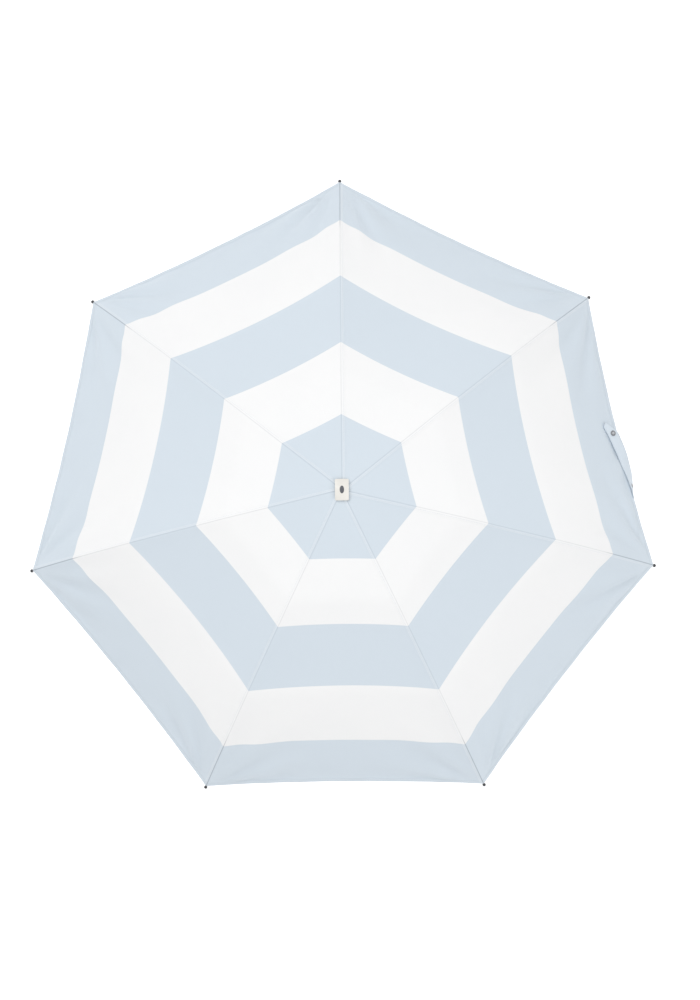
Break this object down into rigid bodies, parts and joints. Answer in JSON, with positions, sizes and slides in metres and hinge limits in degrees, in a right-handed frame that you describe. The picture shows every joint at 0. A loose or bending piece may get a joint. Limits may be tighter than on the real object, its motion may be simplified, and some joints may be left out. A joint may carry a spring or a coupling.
{
  "type": "folding umbrella",
  "caption": "Compact folding umbrella with a shallow banded fabric canopy, three-section hinged ribs and a telescopic shaft.",
  "frame": {"origin": "centre of the handle's bottom face", "axes": "+Z along the shaft, from the handle to the crown; +Y towards the first rib; +X completes the right-handed frame"},
  "size_m": [0.9552, 0.9314, 0.5819],
  "materials": {
    "canopy_fabric": "plain-weave polyester, pale blue and white bands",
    "cap_plastic": "satin ivory",
    "handle_plastic": "satin off-white",
    "end_cap_plastic": "satin pale blue",
    "collar_metal": "polished",
    "shaft_metal": "satin anodised",
    "frame_plastic": "fine texture",
    "button_plastic": "satin",
    "rib_metal": "silver grey",
    "rod_fibreglass": "smooth drawn fibreglass",
    "tip_metal": "dark plated",
    "snap_metal": "plated",
    "wire_steel": "bright wire"
  },
  "bodies": {
    "handle": {"handle_grip": "handle_plastic", "handle_end_cap": "end_cap_plastic", "handle_collar": "collar_metal", "handle_screw": "wire_steel", "shaft_lower": "shaft_metal"},
    "shaft_middle": {"shaft_middle": "shaft_metal"},
    "shaft_upper": {"shaft_upper": "shaft_metal", "crown": "frame_plastic", "crown_wire": "wire_steel", "crown_cap": "cap_plastic", "canopy_panel_1": "canopy_fabric", "canopy_panel_2": "canopy_fabric", "canopy_panel_3": "canopy_fabric", "canopy_panel_4": "canopy_fabric", "canopy_panel_5": "canopy_fabric", "canopy_panel_6": "canopy_fabric", "canopy_panel_7": "canopy_fabric"},
    "runner": {"runner": "frame_plastic", "runner_wire": "wire_steel", "button_spring": "wire_steel"},
    "release_button": {"release_button": "button_plastic"},
    "main_rib_1": {"main_rib_1": "rib_metal"},
    "stretcher_1": {"stretcher_1": "rib_metal"},
    "middle_rib_1": {"middle_rib_1": "rib_metal"},
    "outer_rib_1": {"outer_rib_1": "rod_fibreglass", "rib_tip_1": "tip_metal"},
    "main_rib_2": {"main_rib_2": "rib_metal"},
    "stretcher_2": {"stretcher_2": "rib_metal"},
    "middle_rib_2": {"middle_rib_2": "rib_metal"},
    "outer_rib_2": {"outer_rib_2": "rod_fibreglass", "rib_tip_2": "tip_metal"},
    "main_rib_3": {"main_rib_3": "rib_metal"},
    "stretcher_3": {"stretcher_3": "rib_metal"},
    "middle_rib_3": {"middle_rib_3": "rib_metal"},
    "outer_rib_3": {"outer_rib_3": "rod_fibreglass", "rib_tip_3": "tip_metal", "closing_strap": "canopy_fabric", "strap_snap": "snap_metal", "snap_stud": "snap_metal"},
    "main_rib_4": {"main_rib_4": "rib_metal"},
    "stretcher_4": {"stretcher_4": "rib_metal"},
    "middle_rib_4": {"middle_rib_4": "rib_metal"},
    "outer_rib_4": {"outer_rib_4": "rod_fibreglass", "rib_tip_4": "tip_metal"},
    "main_rib_5": {"main_rib_5": "rib_metal"},
    "stretcher_5": {"stretcher_5": "rib_metal"},
    "middle_rib_5": {"middle_rib_5": "rib_metal"},
    "outer_rib_5": {"outer_rib_5": "rod_fibreglass", "rib_tip_5": "tip_metal"},
    "main_rib_6": {"main_rib_6": "rib_metal"},
    "stretcher_6": {"stretcher_6": "rib_metal"},
    "middle_rib_6": {"middle_rib_6": "rib_metal"},
    "outer_rib_6": {"outer_rib_6": "rod_fibreglass", "rib_tip_6": "tip_metal"},
    "main_rib_7": {"main_rib_7": "rib_metal"},
    "stretcher_7": {"stretcher_7": "rib_metal"},
    "middle_rib_7": {"middle_rib_7": "rib_metal"},
    "outer_rib_7": {"outer_rib_7": "rod_fibreglass", "rib_tip_7": "tip_metal"}
  },
  "joints": [
    {"name": "middle_tube_slide", "type": "slide", "parent": "handle", "child": "shaft_middle", "axis": [0, 0, 1], "range_m": [-0.148, 0]},
    {"name": "upper_tube_slide", "type": "slide", "parent": "shaft_middle", "child": "shaft_upper", "axis": [0, 0, 1], "range_m": [-0.148, 0]},
    {"name": "runner_slide", "type": "slide", "parent": "shaft_upper", "child": "runner", "axis": [0, 0, 1], "range_m": [-0.11803, 0], "deforming": ["canopy_panel_1", "canopy_panel_2", "canopy_panel_3", "canopy_panel_4", "canopy_panel_5", "canopy_panel_6", "canopy_panel_7"]},
    {"name": "release_press", "type": "slide", "parent": "runner", "child": "release_button", "axis": [0, 1, 0], "range_m": [0, 0.0016], "stiffness_N_per_m": 1000, "springref_m": -0.002, "deforming": ["button_spring"]},
    {"name": "main_rib_1_hinge", "type": "hinge", "parent": "shaft_upper", "child": "main_rib_1", "pos_m": [0, 0.0135, 0.5715], "axis": [-1, 0, 0], "range_deg": [0, 82.52]},
    {"name": "stretcher_1_hinge", "type": "hinge", "parent": "main_rib_1", "child": "stretcher_1", "pos_m": [0, 0.09282, 0.56106], "axis": [-1, 0, 0], "range_deg": [-141.73, 0]},
    {"name": "middle_rib_1_hinge", "type": "hinge", "parent": "main_rib_1", "child": "middle_rib_1", "pos_m": [0, 0.17709, 0.54996], "axis": [-1, 0, 0], "range_deg": [-191.02, 0]},
    {"name": "outer_rib_1_hinge", "type": "hinge", "parent": "middle_rib_1", "child": "outer_rib_1", "pos_m": [0, 0.33113, 0.49083], "axis": [-1, 0, 0], "range_deg": [0, 160.78]},
    {"name": "main_rib_2_hinge", "type": "hinge", "parent": "shaft_upper", "child": "main_rib_2", "pos_m": [0.01056, 0.00842, 0.5715], "axis": [-0.6235, 0.7818, 0], "range_deg": [0, 82.52]},
    {"name": "stretcher_2_hinge", "type": "hinge", "parent": "main_rib_2", "child": "stretcher_2", "pos_m": [0.07257, 0.05787, 0.56106], "axis": [-0.6235, 0.7818, 0], "range_deg": [-141.73, 0]},
    {"name": "middle_rib_2_hinge", "type": "hinge", "parent": "main_rib_2", "child": "middle_rib_2", "pos_m": [0.13845, 0.11041, 0.54996], "axis": [-0.6235, 0.7818, 0], "range_deg": [-191.02, 0]},
    {"name": "outer_rib_2_hinge", "type": "hinge", "parent": "middle_rib_2", "child": "outer_rib_2", "pos_m": [0.25889, 0.20646, 0.49083], "axis": [-0.6235, 0.7818, 0], "range_deg": [0, 160.78]},
    {"name": "main_rib_3_hinge", "type": "hinge", "parent": "shaft_upper", "child": "main_rib_3", "pos_m": [0.01316, -0.003, 0.5715], "axis": [0.2225, 0.9749, 0], "range_deg": [0, 82.52]},
    {"name": "stretcher_3_hinge", "type": "hinge", "parent": "main_rib_3", "child": "stretcher_3", "pos_m": [0.09049, -0.02065, 0.56106], "axis": [0.2225, 0.9749, 0], "range_deg": [-141.73, 0]},
    {"name": "middle_rib_3_hinge", "type": "hinge", "parent": "main_rib_3", "child": "middle_rib_3", "pos_m": [0.17265, -0.03941, 0.54996], "axis": [0.2225, 0.9749, 0], "range_deg": [-191.02, 0]},
    {"name": "outer_rib_3_hinge", "type": "hinge", "parent": "middle_rib_3", "child": "outer_rib_3", "pos_m": [0.32283, -0.07368, 0.49083], "axis": [0.2225, 0.9749, 0], "range_deg": [0, 160.78], "deforming": ["closing_strap"]},
    {"name": "main_rib_4_hinge", "type": "hinge", "parent": "shaft_upper", "child": "main_rib_4", "pos_m": [0.00586, -0.01216, 0.5715], "axis": [0.901, 0.4339, 0], "range_deg": [0, 82.52]},
    {"name": "stretcher_4_hinge", "type": "hinge", "parent": "main_rib_4", "child": "stretcher_4", "pos_m": [0.04027, -0.08362, 0.56106], "axis": [0.901, 0.4339, 0], "range_deg": [-141.73, 0]},
    {"name": "middle_rib_4_hinge", "type": "hinge", "parent": "main_rib_4", "child": "middle_rib_4", "pos_m": [0.07684, -0.15955, 0.54996], "axis": [0.901, 0.4339, 0], "range_deg": [-191.02, 0]},
    {"name": "outer_rib_4_hinge", "type": "hinge", "parent": "middle_rib_4", "child": "outer_rib_4", "pos_m": [0.14367, -0.29834, 0.49083], "axis": [0.901, 0.4339, 0], "range_deg": [0, 160.78]},
    {"name": "main_rib_5_hinge", "type": "hinge", "parent": "shaft_upper", "child": "main_rib_5", "pos_m": [-0.00586, -0.01216, 0.5715], "axis": [0.901, -0.4339, 0], "range_deg": [0, 82.52]},
    {"name": "stretcher_5_hinge", "type": "hinge", "parent": "main_rib_5", "child": "stretcher_5", "pos_m": [-0.04027, -0.08362, 0.56106], "axis": [0.901, -0.4339, 0], "range_deg": [-141.73, 0]},
    {"name": "middle_rib_5_hinge", "type": "hinge", "parent": "main_rib_5", "child": "middle_rib_5", "pos_m": [-0.07684, -0.15955, 0.54996], "axis": [0.901, -0.4339, 0], "range_deg": [-191.02, 0]},
    {"name": "outer_rib_5_hinge", "type": "hinge", "parent": "middle_rib_5", "child": "outer_rib_5", "pos_m": [-0.14367, -0.29834, 0.49083], "axis": [0.901, -0.4339, 0], "range_deg": [0, 160.78]},
    {"name": "main_rib_6_hinge", "type": "hinge", "parent": "shaft_upper", "child": "main_rib_6", "pos_m": [-0.01316, -0.003, 0.5715], "axis": [0.2225, -0.9749, 0], "range_deg": [0, 82.52]},
    {"name": "stretcher_6_hinge", "type": "hinge", "parent": "main_rib_6", "child": "stretcher_6", "pos_m": [-0.09049, -0.02065, 0.56106], "axis": [0.2225, -0.9749, 0], "range_deg": [-141.73, 0]},
    {"name": "middle_rib_6_hinge", "type": "hinge", "parent": "main_rib_6", "child": "middle_rib_6", "pos_m": [-0.17265, -0.03941, 0.54996], "axis": [0.2225, -0.9749, 0], "range_deg": [-191.02, 0]},
    {"name": "outer_rib_6_hinge", "type": "hinge", "parent": "middle_rib_6", "child": "outer_rib_6", "pos_m": [-0.32283, -0.07368, 0.49083], "axis": [0.2225, -0.9749, 0], "range_deg": [0, 160.78]},
    {"name": "main_rib_7_hinge", "type": "hinge", "parent": "shaft_upper", "child": "main_rib_7", "pos_m": [-0.01056, 0.00842, 0.5715], "axis": [-0.6235, -0.7818, 0], "range_deg": [0, 82.52]},
    {"name": "stretcher_7_hinge", "type": "hinge", "parent": "main_rib_7", "child": "stretcher_7", "pos_m": [-0.07257, 0.05787, 0.56106], "axis": [-0.6235, -0.7818, 0], "range_deg": [-141.73, 0]},
    {"name": "middle_rib_7_hinge", "type": "hinge", "parent": "main_rib_7", "child": "middle_rib_7", "pos_m": [-0.13845, 0.11041, 0.54996], "axis": [-0.6235, -0.7818, 0], "range_deg": [-191.02, 0]},
    {"name": "outer_rib_7_hinge", "type": "hinge", "parent": "middle_rib_7", "child": "outer_rib_7", "pos_m": [-0.25889, 0.20646, 0.49083], "axis": [-0.6235, -0.7818, 0], "range_deg": [0, 160.78]}
  ],
  "couplings": [
    {"joint": "main_rib_1_hinge", "follows": "runner_slide", "rad_per_m": -12.199},
    {"joint": "stretcher_1_hinge", "follows": "runner_slide", "rad_per_m": 20.954},
    {"joint": "middle_rib_1_hinge", "follows": "runner_slide", "rad_per_m": 28.243},
    {"joint": "outer_rib_1_hinge", "follows": "runner_slide", "rad_per_m": -23.771},
    {"joint": "main_rib_2_hinge", "follows": "runner_slide", "rad_per_m": -12.199},
    {"joint": "stretcher_2_hinge", "follows": "runner_slide", "rad_per_m": 20.954},
    {"joint": "middle_rib_2_hinge", "follows": "runner_slide", "rad_per_m": 28.243},
    {"joint": "outer_rib_2_hinge", "follows": "runner_slide", "rad_per_m": -23.771},
    {"joint": "main_rib_3_hinge", "follows": "runner_slide", "rad_per_m": -12.199},
    {"joint": "stretcher_3_hinge", "follows": "runner_slide", "rad_per_m": 20.954},
    {"joint": "middle_rib_3_hinge", "follows": "runner_slide", "rad_per_m": 28.243},
    {"joint": "outer_rib_3_hinge", "follows": "runner_slide", "rad_per_m": -23.771},
    {"joint": "main_rib_4_hinge", "follows": "runner_slide", "rad_per_m": -12.199},
    {"joint": "stretcher_4_hinge", "follows": "runner_slide", "rad_per_m": 20.954},
    {"joint": "middle_rib_4_hinge", "follows": "runner_slide", "rad_per_m": 28.243},
    {"joint": "outer_rib_4_hinge", "follows": "runner_slide", "rad_per_m": -23.771},
    {"joint": "main_rib_5_hinge", "follows": "runner_slide", "rad_per_m": -12.199},
    {"joint": "stretcher_5_hinge", "follows": "runner_slide", "rad_per_m": 20.954},
    {"joint": "middle_rib_5_hinge", "follows": "runner_slide", "rad_per_m": 28.243},
    {"joint": "outer_rib_5_hinge", "follows": "runner_slide", "rad_per_m": -23.771},
    {"joint": "main_rib_6_hinge", "follows": "runner_slide", "rad_per_m": -12.199},
    {"joint": "stretcher_6_hinge", "follows": "runner_slide", "rad_per_m": 20.954},
    {"joint": "middle_rib_6_hinge", "follows": "runner_slide", "rad_per_m": 28.243},
    {"joint": "outer_rib_6_hinge", "follows": "runner_slide", "rad_per_m": -23.771},
    {"joint": "main_rib_7_hinge", "follows": "runner_slide", "rad_per_m": -12.199},
    {"joint": "stretcher_7_hinge", "follows": "runner_slide", "rad_per_m": 20.954},
    {"joint": "middle_rib_7_hinge", "follows": "runner_slide", "rad_per_m": 28.243},
    {"joint": "outer_rib_7_hinge", "follows": "runner_slide", "rad_per_m": -23.771}
  ]
}
